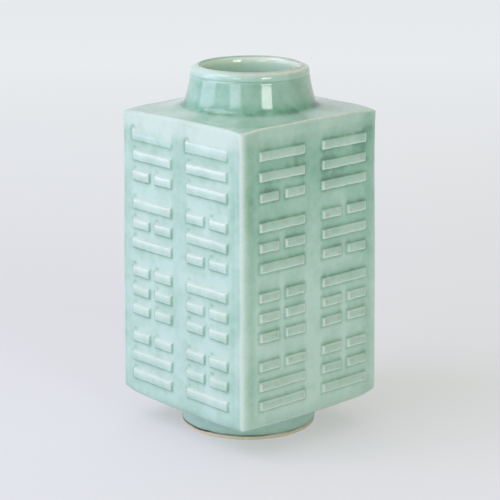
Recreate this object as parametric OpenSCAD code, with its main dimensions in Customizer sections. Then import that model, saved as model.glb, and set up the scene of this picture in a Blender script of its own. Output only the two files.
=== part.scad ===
// Square cong vase with the eight trigrams in relief on each face.
// The pieces are clay slabs, thrown rings and applied strips, luted together before glazing.
// +Z is up, the front face looks along -Y, and the origin is the centre of the foot's underside.

/* [Body] */
// Width of the square body across its flat faces
body_w = 137; // [126:1:180]
// Height of the body from its lower edge to its upper edges
body_h = 224; // [180:0.1:300]
// Thickness of the four side walls
wall_t = 7.5; // [5:0.5:9]
// Rounding of the body's upright and lower edges
edge_r = 3; // [1:0.5:5]
// Thickness of the base slab set between the walls
base_t = 9; // [6:0.5:14]

/* [Shoulder] */
// Thickness of the shoulder slab at its edges
shoulder_t = 7; // [5:0.5:10]
// Rise of the shoulder from its edges to the foot of the neck
shoulder_rise = 4.3; // [2:0.1:9]
// Radius of the hollow curve in which the shoulder sweeps up to the neck
sweep_r = 70; // [40:5:100]

/* [Neck] */
// Height of the neck above the shoulder
neck_h = 29; // [24:0.5:45]
// Outer radius of the neck where it stands on the shoulder
neck_base_r = 50; // [47:0.5:58]
// Thickness of the neck's wall at its base
neck_t = 7.5; // [5:0.5:9]
// Radius of the hollow curve up the outside of the neck
neck_curve_r = 95; // [60:5:200]
// Radius of the mouth
mouth_r = 36.5; // [30:0.1:40]
// Depth of the straight throat below the rounded lip
throat_h = 14; // [6:0.5:16]
// Radius of the rounded lip
lip_r = 3.8; // [2.5:0.1:4.5]
// Height of the lip from its lower groove to the rim
lip_h = 5.6; // [5:0.1:8]
// How far the neck under the groove stands out past the lip
neck_step = 0.6; // [0:0.1:1.5]
// Radius of the groove under the lip
groove_r = 1.5; // [0.8:0.1:3]
// Depth of the groove under the lip
groove_d = 0.6; // [0.2:0.1:1.2]

/* [Foot] */
// Height of the foot ring below the body
foot_h = 22.2; // [12:0.1:40]
// Outer radius of the foot ring under the base
foot_r = 53; // [45:0.5:54]
// Radial thickness of the foot ring
foot_t = 10; // [7:0.5:15]
// How far the bevel draws in the lower edge of the foot ring
foot_bevel = 2.6; // [0.5:0.1:4]
// Height of the bevel on the lower edge of the foot ring
foot_bevel_h = 6.5; // [3:0.5:10]
// Chamfer of the edges that the foot ring rests on
foot_chamfer = 0.9; // [0.3:0.1:1.5]

/* [Trigrams] */
// Gap from the body's upper edges to the top line
top_margin = 15.8; // [10:0.1:30]
// Gap from the body's lower edge to the bottom line
bottom_margin = 12.8; // [5:0.1:30]
// Gap from each side of a face to its columns
side_margin = 14.5; // [6:0.1:30]
// Gap between the two columns of a face
column_gap = 17.6; // [6:0.1:40]
// Gap between the lines of one trigram
line_gap = 7.7; // [3:0.1:9]
// Gap between one trigram and the next
trigram_gap = 14.6; // [6:0.1:20]
// Gap in the middle of a broken line
break_gap = 6.3; // [2:0.1:12]
// Height of the strips above the wall
relief = 1.8; // [0.8:0.1:3]
// How far the sides of a strip slope in from the wall to its top
strip_draft = 0.7; // [0.2:0.1:1.2]
// Sideways shift of the columns on the front, right, back and left faces
column_shift = [-1, 2.2, -1.2, 0.8]; // [-4:0.1:4]

/* [Seams] */
// Depth of the round seats that hold the neck and the foot ring
seat_d = 1.5; // [0.5:0.1:2.5]
// Clearance for slip round the neck and the foot ring in their seats
slip_gap = 0.15; // [0.05:0.05:0.4]
// Width of the coil pressed into each inside seam
coil_leg = 6; // [3:0.5:8]
// Extra radius, over the coil's width, of the fingertip that smooths the coils
finger_extra = 1.5; // [0.5:0.5:6]

/* [Hidden] */
$fn = 96;
// The shoulder's sweep is wide, so its facets have to be many
SWEEP_FN = 480;

GLAZE = [0.68, 0.82, 0.76];
RELIEF_GLAZE = [0.76, 0.87, 0.82];
NECK_GLAZE = [0.66, 0.80, 0.75];
FOOT_GLAZE = [0.60, 0.73, 0.68];
INNER_GLAZE = [0.62, 0.74, 0.66];

FACES = ["front", "right", "back", "left"];
CORNERS = ["front_right", "back_right", "back_left", "front_left"];

// Each trigram's name, column, row and lines from top to bottom, 1 unbroken and 0 broken
TRIGRAMS = [
    ["wind", 0, 0, [1, 1, 0]],
    ["fire", 0, 1, [1, 0, 1]],
    ["earth", 0, 2, [0, 0, 0]],
    ["lake", 0, 3, [0, 1, 1]],
    ["heaven", 1, 0, [1, 1, 1]],
    ["water", 1, 1, [0, 1, 0]],
    ["mountain", 1, 2, [1, 0, 0]],
    ["thunder", 1, 3, [0, 0, 1]],
];
COLUMNS = 2;
ROWS = 4;
LINES = 3;

function wall_name(face) = str(FACES[face], "_wall");
function coil_name(corner) = str(CORNERS[corner], "_corner_coil");
function trigram_name(face, sign) = str(FACES[face], "_", sign[0], "_trigram");

// Heights of the body's levels
body_top_z = foot_h + body_h;
wall_top_z = body_top_z - shoulder_t;
base_top_z = foot_h + base_t;
shoulder_z = body_top_z + shoulder_rise;
neck_seat_z = shoulder_z - seat_d;
rim_z = shoulder_z + neck_h;
lip_z = rim_z - lip_r;
groove_z = rim_z - lip_h;
throat_z = lip_z - throat_h;

// Plan of the body
half_w = body_w / 2;
inner_w = body_w - 2 * wall_t;
inner_half = inner_w / 2;

// Radius at which the shoulder's sweep runs out into its level rim
sweep_reach = neck_base_r + sqrt(shoulder_rise * (2 * sweep_r - shoulder_rise));

// Radii of the neck and foot
neck_inner_r = neck_base_r - neck_t;
lip_out_r = mouth_r + 2 * lip_r;
neck_top_r = lip_out_r + neck_step;
foot_inner_r = foot_r - foot_t;
foot_low_r = foot_r - foot_bevel;

// Strips of the trigrams
strip_w = (body_w - 2 * side_margin - (COLUMNS - 1) * column_gap) / COLUMNS;
half_strip_w = (strip_w - break_gap) / 2;
line_gaps_h = ROWS * (LINES - 1) * line_gap + (ROWS - 1) * trigram_gap;
strip_h = (body_h - top_margin - bottom_margin - line_gaps_h) / (ROWS * LINES);
line_pitch = strip_h + line_gap;
trigram_pitch = LINES * line_pitch - line_gap + trigram_gap;
column_pitch = strip_w + column_gap;

// Centre of a circle of radius r through p and q, on the right of the way from p to q
function circle_centre(p, q, r) =
    let (way = q - p, half = norm(way) / 2, side = [way[1], -way[0]] / norm(way))
    (p + q) / 2 + side * sqrt(r * r - half * half);

module at_z(z) {
    translate([0, 0, z]) children();
}

// Square with rounded corners, centred
module rounded_square(w, r) {
    square([w, w - 2 * r], center = true);
    square([w - 2 * r, w], center = true);
    for (x = [-1, 1], y = [-1, 1])
        translate([x, y] * (w / 2 - r)) circle(r);
}

// Quarter of the plan on the front side, between the two diagonals
module front_quarter() {
    polygon([[0, 0], [body_w, -body_w], [-body_w, -body_w]]);
}

// Runs an outline drawn in Y and Z along X, centred
module along_x(length) {
    rotate([90, 0, 90]) linear_extrude(length, center = true) children();
}

// Outline of a wall, in Y and Z, with its lower outer edge rounded
module wall_outline() {
    translate([-half_w, foot_h + edge_r]) square([wall_t, wall_top_z - foot_h - edge_r]);
    translate([edge_r - half_w, foot_h]) square([wall_t - edge_r, edge_r]);
    translate([edge_r - half_w, foot_h + edge_r]) circle(edge_r);
}

// One side wall, mitred to its neighbours along the diagonals of the plan
module wall(face) {
    color(GLAZE)
    rotate([0, 0, 90 * face])
    intersection() {
        along_x(body_w) wall_outline();
        at_z(foot_h)
        linear_extrude(body_h)
        intersection() {
            rounded_square(body_w, edge_r);
            front_quarter();
        }
    }
}

// Slab between the walls, with a round seat below for the foot ring
module base_slab() {
    color(INNER_GLAZE)
    difference() {
        at_z(foot_h) linear_extrude(base_t) square(inner_w, center = true);
        cylinder(h = foot_h + seat_d, r = foot_r + slip_gap);
    }
}

// Outline of the shoulder, level towards its edges and sweeping up to the foot of the neck
module shoulder_outline() {
    difference() {
        polygon([
            [0, wall_top_z],
            [body_w, wall_top_z],
            [body_w, body_top_z],
            [sweep_reach, body_top_z],
            [neck_base_r, shoulder_z],
            [0, shoulder_z],
        ]);
        translate([sweep_reach, body_top_z + sweep_r]) circle(sweep_r, $fn = SWEEP_FN);
    }
}

// Slab on the walls, with a round seat for the neck and the opening under it
module shoulder_slab() {
    color(GLAZE)
    difference() {
        intersection() {
            at_z(wall_top_z)
            linear_extrude(rim_z - wall_top_z) rounded_square(body_w, edge_r);
            rotate_extrude($fn = SWEEP_FN) shoulder_outline();
        }
        at_z(foot_h) cylinder(h = body_h + neck_h, r = neck_inner_r);
        at_z(neck_seat_z) cylinder(h = neck_h, r = neck_base_r + slip_gap);
    }
}

// Thrown neck with a hollow curve outside, a groove and a rounded lip
module neck() {
    foot_point = [neck_base_r, shoulder_z];
    groove_point = [neck_top_r, groove_z];
    color(NECK_GLAZE)
    rotate_extrude()
    difference() {
        union() {
            polygon([
                [neck_inner_r, neck_seat_z],
                [neck_base_r, neck_seat_z],
                foot_point,
                groove_point,
                [lip_out_r, lip_z],
                [mouth_r, lip_z],
                [mouth_r, throat_z],
            ]);
            translate([mouth_r + lip_r, lip_z]) circle(lip_r);
        }
        translate(circle_centre(foot_point, groove_point, neck_curve_r)) circle(neck_curve_r);
        translate(groove_point + [groove_r - groove_d, 0]) circle(groove_r);
    }
}

// Thrown foot ring, bevelled towards the surface that it stands on
module foot_ring() {
    top_z = foot_h + seat_d;
    color(FOOT_GLAZE)
    rotate_extrude()
    polygon([
        [foot_inner_r, foot_chamfer],
        [foot_inner_r + foot_chamfer, 0],
        [foot_low_r - foot_chamfer, 0],
        [foot_low_r, foot_chamfer],
        [foot_r, foot_bevel_h],
        [foot_r, top_z],
        [foot_inner_r, top_z],
    ]);
}

// Outline of a coil pressed into a square corner and smoothed with a fingertip
module coil_outline() {
    finger_r = coil_leg + finger_extra;
    difference() {
        polygon([[0, 0], [coil_leg, 0], [0, coil_leg]]);
        translate(circle_centre([coil_leg, 0], [0, coil_leg], finger_r)) circle(finger_r);
    }
}

// Upright coil in the seam between two walls
module corner_coil(corner) {
    color(INNER_GLAZE)
    rotate([0, 0, 90 * corner])
    translate([inner_half, -inner_half, base_top_z + coil_leg])
    mirror([1, 0, 0])
    linear_extrude(wall_top_z - base_top_z - 2 * coil_leg) coil_outline();
}

// Coil laid round the inside of the four walls, standing up from the level z = 0
module seam_loop() {
    for (face = [0:3])
        rotate([0, 0, 90 * face])
        intersection() {
            along_x(inner_w) translate([-inner_half, 0]) coil_outline();
            linear_extrude(coil_leg) front_quarter();
        }
}

module base_coil() {
    color(INNER_GLAZE) at_z(base_top_z) seam_loop();
}

module shoulder_coil() {
    color(INNER_GLAZE) at_z(wall_top_z) mirror([0, 0, 1]) seam_loop();
}

// Clay strip with sloping sides, centred on the plane of the wall and standing out along -Y
module strip(length) {
    top_w = length - 2 * strip_draft;
    top_h = strip_h - 2 * strip_draft;
    intersection() {
        linear_extrude(strip_h, center = true)
        polygon([
            [-length / 2, 0],
            [-top_w / 2, -relief],
            [top_w / 2, -relief],
            [length / 2, 0],
        ]);
        along_x(length)
        polygon([
            [0, -strip_h / 2],
            [-relief, -top_h / 2],
            [-relief, top_h / 2],
            [0, strip_h / 2],
        ]);
    }
}

// One line of a trigram, unbroken or in two halves
module trigram_line(unbroken) {
    if (unbroken)
        strip(strip_w);
    else
        for (side = [-1, 1])
            translate([side * (half_strip_w + break_gap) / 2, 0, 0]) strip(half_strip_w);
}

// The three lines of one trigram on the face of a wall
module trigram(face, sign) {
    column = sign[1];
    row = sign[2];
    lines = sign[3];
    column_x = (column - (COLUMNS - 1) / 2) * column_pitch + column_shift[face];
    first_z = body_top_z - top_margin - strip_h / 2 - row * trigram_pitch;
    color(RELIEF_GLAZE)
    rotate([0, 0, 90 * face])
    for (line = [0 : LINES - 1])
        translate([column_x, -half_w, first_z - line * line_pitch])
        trigram_line(lines[line] == 1);
}

for (face = [0:3])
    wall(face);
base_slab();
shoulder_slab();
neck();
foot_ring();
for (corner = [0:3])
    corner_coil(corner);
base_coil();
shoulder_coil();
for (face = [0:3], sign = TRIGRAMS)
    trigram(face, sign);
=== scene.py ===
"""Celadon cong vase: slab walls, luted trigram strips, a thrown neck and foot, over the CAD solids."""
import math
from collections import namedtuple

import bmesh
import bpy
import numpy as np
from mathutils import Matrix, Vector


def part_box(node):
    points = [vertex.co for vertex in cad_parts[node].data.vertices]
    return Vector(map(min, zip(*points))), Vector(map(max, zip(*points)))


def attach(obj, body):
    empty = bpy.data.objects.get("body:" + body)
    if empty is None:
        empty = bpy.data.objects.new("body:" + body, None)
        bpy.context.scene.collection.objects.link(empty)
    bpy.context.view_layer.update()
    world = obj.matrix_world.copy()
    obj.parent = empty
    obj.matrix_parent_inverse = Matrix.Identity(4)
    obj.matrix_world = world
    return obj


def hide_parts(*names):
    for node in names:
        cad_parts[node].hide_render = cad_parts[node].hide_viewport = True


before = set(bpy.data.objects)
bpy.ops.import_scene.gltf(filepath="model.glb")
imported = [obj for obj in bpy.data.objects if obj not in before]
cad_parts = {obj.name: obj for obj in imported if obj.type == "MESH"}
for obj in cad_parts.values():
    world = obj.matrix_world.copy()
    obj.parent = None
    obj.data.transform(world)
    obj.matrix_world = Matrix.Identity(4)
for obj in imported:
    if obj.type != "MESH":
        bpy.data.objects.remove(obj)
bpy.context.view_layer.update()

# Shapes are worked out in millimetres and scaled once, when a mesh is made
MM = 0.001

FACES = ("front", "right", "back", "left")
# Lines of each trigram from top to bottom, 1 unbroken and 0 broken
TRIGRAMS = {
    "wind": (1, 1, 0),
    "fire": (1, 0, 1),
    "earth": (0, 0, 0),
    "lake": (0, 1, 1),
    "heaven": (1, 1, 1),
    "water": (0, 1, 0),
    "mountain": (1, 0, 0),
    "thunder": (0, 0, 1),
}


def box_mm(node):
    low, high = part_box(node)
    return np.array(low) / MM, np.array(high) / MM


# Sizes that the solids give
wall_low, wall_high = box_mm("front_wall")
HALF_W = -wall_low[1]
INNER_HALF = -wall_high[1]
BODY_LOW = wall_low[2]
WALL_TOP = wall_high[2]
neck_low, neck_high = box_mm("neck")
NECK_R = neck_high[0]
NECK_SEAT = neck_low[2]
RIM = neck_high[2]
foot_high = box_mm("foot_ring")[1]
FOOT_R = foot_high[0]
FOOT_TOP = foot_high[2]
SHOULDER_TOP = box_mm("shoulder_slab")[1][2]

# Sizes inside the solids, as they were built
EDGE_R = 3.0
SHOULDER_T = 7.0
SWEEP_R = 70.0
SLIP_GAP = 0.15
NECK_T = 7.5
NECK_CURVE_R = 95.0
MOUTH_R = 36.5
THROAT_H = 14.0
LIP_R = 3.8
LIP_H = 5.6
NECK_STEP = 0.6
FOOT_T = 10.0
FOOT_BEVEL_H = 6.5
FOOT_CHAMFER = 0.9
STRIP_H = 7.5
BREAK_GAP = 6.3
RELIEF = 1.8

# How the glaze rounds and fills the clay
LOW_EDGE_R = 4.5
FOOT_DRAW = 1.6
TOP_EDGE_R = 1.6
NECK_FILLET = 3.0
FOOT_FILLET = 2.2
STRIP_EDGE = 1.4
STRIP_CORNER_R = 0.9
STRIP_CROWN = 0.45
STRIP_SINK = 0.5

# Fineness of the meshes
WALL_STEP = 0.9
LOW_EDGE_STEPS = 9
SHOULDER_STEP = 1.6
SHOULDER_SIDE_STEPS = 6
SHOULDER_TOP_STEPS = 24
TOP_EDGE_STEPS = 7
CORNER_STEPS = 9
LATHE_STEPS = 176
HOLLOW_STEPS = 25
THROAT_STEPS = 16
SHARP_ANGLE = math.radians(38)

NECK_INNER_R = NECK_R - NECK_T
BODY_TOP = WALL_TOP + SHOULDER_T
LIP_Z = RIM - LIP_R
GROOVE_Z = RIM - LIP_H
NECK_TOP_R = MOUTH_R + 2 * LIP_R + NECK_STEP
SHOULDER_RISE = SHOULDER_TOP - BODY_TOP
SWEEP_REACH = NECK_R + math.sqrt(SHOULDER_RISE * (2 * SWEEP_R - SHOULDER_RISE))

SEED = 12
random = np.random.default_rng(SEED)


# Small helpers for curves and fields

# Keeps a share of nothing from dividing by 0
TINY = 1e-9


def bell(x):
    return np.exp(-np.square(x))


def smooth(x):
    t = np.clip(x, 0, 1)
    return t * t * (3 - 2 * t)


def ramp(x, span):
    """Rises smoothly from 0 to 1 over a span."""
    return smooth((x - span[0]) / (span[1] - span[0]))


# A value that is highest at a place and falls off on both sides of it, for the whole vase or for each face
Swell = namedtuple("Swell", "most place width")


def swell(kind, x, face=None):
    most = kind.most if face is None else kind.most[face]
    return most * bell((x - kind.place) / kind.width)


def reach_of(points):
    """Distance from the upright axis."""
    return np.linalg.norm(points[:, :2], axis=1)


def both(*shares):
    """Joins shares from 0 to 1 so that the sum never passes 1."""
    left = 1.0
    for share in shares:
        left = left * (1 - np.clip(share, 0, 1))
    return 1 - left


def arc(centre, radius, start, end, steps):
    angles = np.radians(np.linspace(start, end, steps + 1))
    return np.column_stack((centre[0] + radius * np.cos(angles), centre[1] + radius * np.sin(angles)))


def bezier(p, q, r, steps):
    t = np.linspace(0, 1, steps + 1)[:, None]
    return (1 - t) ** 2 * np.array(p) + 2 * t * (1 - t) * np.array(q) + t * t * np.array(r)


def line(p, q, steps):
    t = np.linspace(0, 1, steps + 1)[:, None]
    return (1 - t) * np.array(p) + t * np.array(q)


def shoulder_height(reach):
    """The shoulder is level toward its edges and sweeps up to the foot of the neck."""
    inside = np.maximum(SWEEP_REACH - reach, 0)
    return BODY_TOP + SWEEP_R - np.sqrt(SWEEP_R**2 - np.square(inside))


def neck_radius(z):
    """Outside of the neck: a hollow curve from its foot to the groove."""
    low, high = np.array((NECK_R, SHOULDER_TOP)), np.array((NECK_TOP_R, GROOVE_Z))
    way = high - low
    half = np.linalg.norm(way) / 2
    side = np.array((way[1], -way[0])) / (2 * half)
    centre = (low + high) / 2 + side * math.sqrt(NECK_CURVE_R**2 - half**2)
    return centre[0] - np.sqrt(NECK_CURVE_R**2 - np.square(z - centre[1]))


def turned(points, face):
    """Turns points of the front side to another side of the vase."""
    quarter = np.array(((0, 1, 0), (-1, 0, 0), (0, 0, 1)))
    return points @ np.linalg.matrix_power(quarter, face)


# The clay bends a little in drying and firing. The bend depends on the place alone, so pieces stay flush

Wave = namedtuple("Wave", "direction phase push")


def make_waves(count, length, height):
    waves = []
    for _ in range(count):
        way = random.normal(size=3)
        direction = way / np.linalg.norm(way) * 2 * math.pi / (length * random.uniform(0.75, 1.3))
        push = random.normal(size=3)
        waves.append(Wave(direction, random.uniform(0, 2 * math.pi), push / np.linalg.norm(push) * height))
    return waves


WARP_WAVES = make_waves(3, 170, 0.22) + make_waves(6, 48, 0.05) + make_waves(8, 17, 0.014)
WARP_FADE = 60.0
# The walls lean out toward the foot, and draw in under the rim
LEAN_LOW = 1.1
LEAN_TOP = -0.55
DRAWN_IN = Swell(0.4, 200.0, 35.0)
RIM_FLARE = 0.15
FLARE_Z = (232.0, 242.0)


def up_face(z):
    """Share of the way up the body."""
    return np.clip((z - BODY_LOW) / (BODY_TOP - BODY_LOW), 0, 1)


def skin_share(points):
    """1 on the outside of the walls and 0 inside."""
    reach = np.max(np.abs(points[:, :2]), axis=1)
    return ramp(reach, (INNER_HALF, HALF_W - EDGE_R))


def lean(points):
    """Outward growth of the walls' skin. The inside stays where it meets the base."""
    height = points[:, 2]
    out = LEAN_LOW + up_face(height) * (LEAN_TOP - LEAN_LOW)
    out = out - swell(DRAWN_IN, height) + RIM_FLARE * ramp(height, FLARE_Z)
    return skin_share(points) * out / HALF_W


# The shoulder's corners sank a little in the firing, and its left side more than its right
CORNER_SAG = 1.4
SAG_REACH = (80.0, 95.5)
TIP_SAG = 0.5
TIP_REACH = (90.0, 95.6)
TOP_SLOPE = np.array((0.013, 0.002))
SLOPE_REACH = (52.0, 66.0)
SETTLE_Z = (238.0, 246.5)


def settle(points):
    """Fall of the shoulder's rim."""
    reach = reach_of(points)
    sag = CORNER_SAG * ramp(reach, SAG_REACH) + TIP_SAG * ramp(reach, TIP_REACH)
    slope = points[:, :2] @ TOP_SLOPE * ramp(reach, SLOPE_REACH)
    return (slope - sag) * ramp(points[:, 2], SETTLE_Z)


# The lower corners turned up a little, all but the one between the front and the right wall
CORNER_LIFT = 2.2
LIFT_REACH = (85.0, 95.6)
LIFT_FADE = 16.0


def turn_up(points):
    """Rise of the body's lower corners."""
    reach = reach_of(points)
    turned_up = np.clip(1 - (points[:, 0] - points[:, 1]) / (2 * HALF_W), 0, 1)
    low = 1 - smooth((points[:, 2] - BODY_LOW) / LIFT_FADE)
    return CORNER_LIFT * ramp(reach, LIFT_REACH) * turned_up * low


# Between the corners, the walls' lower edges hang a little
LOW_SAG = 2.1
LOW_SAG_FADE = 9.0
LOW_SAG_BOW = 0.85


def hang(points):
    """Fall of the walls' lower edges, most in the middle of each wall."""
    along_wall = np.clip(np.min(np.abs(points[:, :2]), axis=1) / HALF_W, 0, 1)
    low = 1 - smooth((points[:, 2] - BODY_LOW) / LOW_SAG_FADE)
    return LOW_SAG * skin_share(points) * low * (1 - LOW_SAG_BOW * np.square(along_wall))


# The neck was set a little off the middle, and the shoulder's sweep follows it
NECK_OFF = np.array((0.67, 0.74, 0.0))
OFF_REACH = (54.0, 67.0)
OFF_RISE = 2.0
RIM_TILT = np.array((0.0097, -0.0087))


def neck_off(points):
    """Shift of the neck and of the shoulder round it, with a slight tilt of the rim."""
    reach = reach_of(points)
    near = 1 - ramp(reach, OFF_REACH)
    shift = (near * smooth((points[:, 2] - WALL_TOP) / OFF_RISE))[:, None] * NECK_OFF
    tilted = near * ramp(points[:, 2], (SHOULDER_TOP, GROOVE_Z))
    shift[:, 2] += tilted * (points[:, :2] @ RIM_TILT)
    return shift


# The foot's lower edge is a little off the middle as well, and its upper end stays in its seat
FOOT_OFF = np.array((-0.5, -0.55, 0))
FOOT_OFF_FADE = 10.0


def foot_off(points):
    return smooth((BODY_LOW - points[:, 2:]) / FOOT_OFF_FADE) * FOOT_OFF


def warp(points):
    shift = np.zeros_like(points)
    for wave in WARP_WAVES:
        shift += np.sin(points @ wave.direction + wave.phase)[:, None] * wave.push
    shift *= smooth((points[:, 2:3] - BODY_LOW) / WARP_FADE)
    shift[:, :2] += points[:, :2] * lean(points)[:, None]
    shift[:, 2] += settle(points) + turn_up(points) - hang(points)
    shift += neck_off(points) + foot_off(points)
    return points + shift


# Strips of the trigrams, each by its centre and half sizes on its face

Strip = namedtuple("Strip", "u z half_w half_h")
# Strips of the front face above this height melt into the band over them, and are longer at their left ends
MELTED_Z = 222.0
MELTED_LONGER = 1.8
# How much of the strip in the left and in the right column is melted
MELTED_SHARES = (1.0, 0.75)


def is_melted(face, z):
    return face == 0 and z > MELTED_Z


def melted_share(face, strip):
    return MELTED_SHARES[int(strip.u > 0)] if is_melted(face, strip.z) else 0.0


def trigram_node(face, name):
    return f"{FACES[face]}_{name}_trigram"


def trigram_span(face, name):
    """Span of a trigram along its face, and its heights."""
    low, high = box_mm(trigram_node(face, name))
    axis, sign = face % 2, (1, 1, -1, -1)[face]
    ends = sorted((sign * low[axis], sign * high[axis]))
    return ends[0], ends[1], low[2], high[2]


def trigram_strips(face, name):
    left, right, low, high = trigram_span(face, name)
    pitch = (high - low - STRIP_H) / (len(TRIGRAMS[name]) - 1)
    middle, full = (left + right) / 2, right - left
    half = (full - BREAK_GAP) / 2
    strips = []
    for row, unbroken in enumerate(TRIGRAMS[name]):
        z = high - STRIP_H / 2 - row * pitch
        if is_melted(face, z):
            strips.append(Strip(middle - MELTED_LONGER / 2, z, (full + MELTED_LONGER) / 2, STRIP_H / 2))
        elif unbroken:
            strips.append(Strip(middle, z, full / 2, STRIP_H / 2))
        else:
            shift = (half + BREAK_GAP) / 2
            strips += [Strip(middle + side * shift, z, half / 2, STRIP_H / 2) for side in (-1, 1)]
    return strips


FACE_STRIPS = [[strip for name in TRIGRAMS for strip in trigram_strips(face, name)] for face in range(4)]
FACE_MELTED = [
    np.array([melted_share(face, strip) for strip in strips]) for face, strips in enumerate(FACE_STRIPS)
]
# Spans and heights of the trigrams of each face
FACE_SIGNS = [[trigram_span(face, name) for name in TRIGRAMS] for face in range(4)]
# Spans of the left and right columns of each face
FACE_COLUMNS = [[trigram_span(face, name)[:2] for name in ("wind", "heaven")] for face in range(4)]

# Depth of the glaze, from 0 to 1, on the front, right, back and left faces. It runs down and gathers over
# the strips, and thins over edges and where it ran off. Painted shade and painted highlights are laid into
# these depths as well

Sides = namedtuple("Sides", "top low left right")

# On the face itself, by height
# Deeper toward the top of each face, most on the right: partly pooled glaze, partly painted shade
GROUND_DEEP_AND_SHADE = (0.2, 0.52, 0.35, 0.2)
COLUMN_SHARE = (0.0, 0.6, 0.45, 0.2)
MARGIN_SHARE = (0.2, 1.2, 0.8, 0.5)
CHANNEL_DEEP = (0.12, 0.0, 0.05, 0.1)
COLUMN_SOFT = 5.0
DEEP_SPAN = (105.0, 210.0)
TOP_DEEP = Swell((0.2, 0.5, 0.3, 0.2), 219.0, 13.0)
TOP_MIDDLE_SHARE = 0.75
TOP_MARGIN_SHARE = 0.5
LOW_DEEP = Swell((0.35, 0.45, 0.4, 0.35), BODY_LOW, 8.0)
BAND_Z = 232.0
BAND_SOFT = 8.0
BAND_PALE = 0.4
BAND_THIN = (0.38, 0.0, 0.15, 0.3)
EVEN_THIN = (0.08, 0.09, 0.05, 0.08)
# Paler lower down, most on the right face: partly thinner glaze, partly painted light from the floor
LOW_THIN_AND_BOUNCE = (0.0, 0.24, 0.1, 0.05)
LOW_THIN_FALL = 1.5
# A pale line just above the lower edge of the body: a painted highlight
LOW_EDGE_HIGHLIGHT = Swell((0.1, 0.45, 0.3, 0.3), BODY_LOW + 1.6, 0.9)
BAND_STAIN = (0.0, 0.1, 0.06, 0.04)

# Round the strips: pooled glaze with painted shade, most below them and at their ends
RING_DEEP_AND_SHADE = (
    Sides(0.1, 0.5, 0.68, 0.8),
    Sides(0.85, 0.65, 0.6, 0.7),
    Sides(0.45, 0.7, 0.55, 0.6),
    Sides(0.35, 0.7, 0.55, 0.7),
)
RING_PLACE = 0.6
RING_W = (0.95, 1.25, 1.2, 1.1)
# A ring's sides count from this far inside a strip's edge
RING_IN = 0.6
# Stretch at the left end of a melted strip where its ring stays
RING_END = 2.0
RUN_SOFT = 3.0
SIGN_SOFT = 1.0
# At the foot and at the top of each face
# Darker above each strip, growing toward the top of the right face: partly a run of glaze, partly painted
# shade
RUN_DEEP_AND_SHADE = ((0.0, 0.0), (0.8, 0.92), (0.35, 0.45), (0.15, 0.2))
RUN_LENGTH = 4.4
# Darker under each strip: pooled glaze and painted shadow
UNDER_DEEP_AND_SHADOW = ((0.4, 0.4), (0.15, 0.42), (0.25, 0.35), (0.3, 0.35))
UNDER_LENGTH = 3.3
BETWEEN_DEEP = ((0.08, 0.08), (0.0, 0.25), (0.05, 0.15), (0.08, 0.1))
# Paler just above each strip: partly thinner glaze, partly a painted sheen
ABOVE_THIN_AND_SHEEN = (0.32, 0.0, 0.05, 0.1)
ABOVE_LENGTH = 3.8
# A dark spot over the upper left corner: pooled glaze and painted shade
HOOK_DEEP_AND_SHADE = (0.9, 0.2, 0.35, 0.5)
HOOK_IN = 2.0
HOOK_UP = 2.5
HOOK_SIZE = (2.0, 1.3)
# A loop over the left end of the melted strips, open below and at its right
LOOP_IN = 2.0
LOOP_DOWN = 0.5
LOOP_SIZE = (2.6, 4.0)
LOOP_W = 0.32
LOOP_LOW_FADE = 2.0
LOOP_RIGHT_FADE = 1.2
# A painted highlight on the raised end inside each loop
LOOP_HIGHLIGHT = 0.5
LOOP_HIGHLIGHT_REACH = 0.6

# On the strips
# Paler edges of the strips where the glaze runs thinner; on the front face the upper edge is partly a
# painted highlight
EDGE_HIGH = (
    Sides(0.35, 0.1, 0.2, 0.15),
    Sides(0.12, 0.6, 1.0, 0.85),
    Sides(0.4, 0.7, 0.8, 0.8),
    Sides(0.4, 0.4, 0.5, 0.5),
)
EDGE_LOW = (
    Sides(0.4, 0.1, 0.25, 0.15),
    Sides(0.3, 0.6, 1.0, 0.9),
    Sides(0.5, 0.5, 0.7, 0.7),
    Sides(0.4, 0.4, 0.5, 0.5),
)
EDGE_SIDE = 1.6
EDGE_PLACE = 0.85
EDGE_W_OUT = 0.55
EDGE_W_IN = (
    Sides(0.8, 0.6, 0.7, 0.6),
    Sides(0.7, 0.9, 1.5, 0.8),
    Sides(0.7, 1.0, 1.0, 0.8),
    Sides(0.8, 0.6, 0.7, 0.6),
)
EDGE_W_LEAST = 0.05
# How much of the upper edge shows, from strip to strip
TOP_EDGE_SHARE = (0.2, 1.8)
# How far in from its edge a strip's own top begins, and how far in the pools round it reach
ON_TOP_SOFT = 1.2
POOL_IN = 0.5
# At the foot and at the top of each face
STRIP_DEEP = ((0.1, 0.0), (0.52, 0.34), (0.15, 0.32), (0.08, 0.2))
# Darker lower half of each strip: painted shade
LOWER_HALF_SHADE = (0.14, 0.0, 0.05, 0.1)
# Paler at the upper and at the lower edge of a strip: partly thinner glaze, partly a painted highlight at
# the top and a painted reflection of the floor at the bottom
STRIP_PALE_AND_HIGHLIGHT = ((0.5, 0.0), (0.0, 0.32), (0.15, 0.3), (0.4, 0.05))
STRIP_PALE_FALL = (1.3, 1.5)
STRIP_STAIN = (0.03, 0.14, 0.09, 0.05)
STRIP_STAIN_MIDDLE = 0.6
# A stain near each end
SPOT_STAIN = (0.12, 0.5, 0.35, 0.25)
SPOT_SIZE = (1.7, 1.2)
SPOT_IN = (2.5, 5.0)
SPOT_UP = (-1.0, 1.0)
SPOT_SHARE = (0.1, 1.0)

# Along the upright ridges, at the left and right ends of each face
RIDGE_THIN = 0.65
RIDGE_W = ((1.7, 1.5), (3.4, 1.7), (1.7, 1.7), (1.7, 1.7))
RIDGE_DEEP = Swell(((0.1, 0.32), (0.57, 0.55), (0.4, 0.4), (0.25, 0.15)), 8.5, 5.0)
RIDGE_LINE = Swell(((0.3, 0.3), (0.0, 0.1), (0.1, 0.1), (0.1, 0.2)), 3.1, 1.2)

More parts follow.
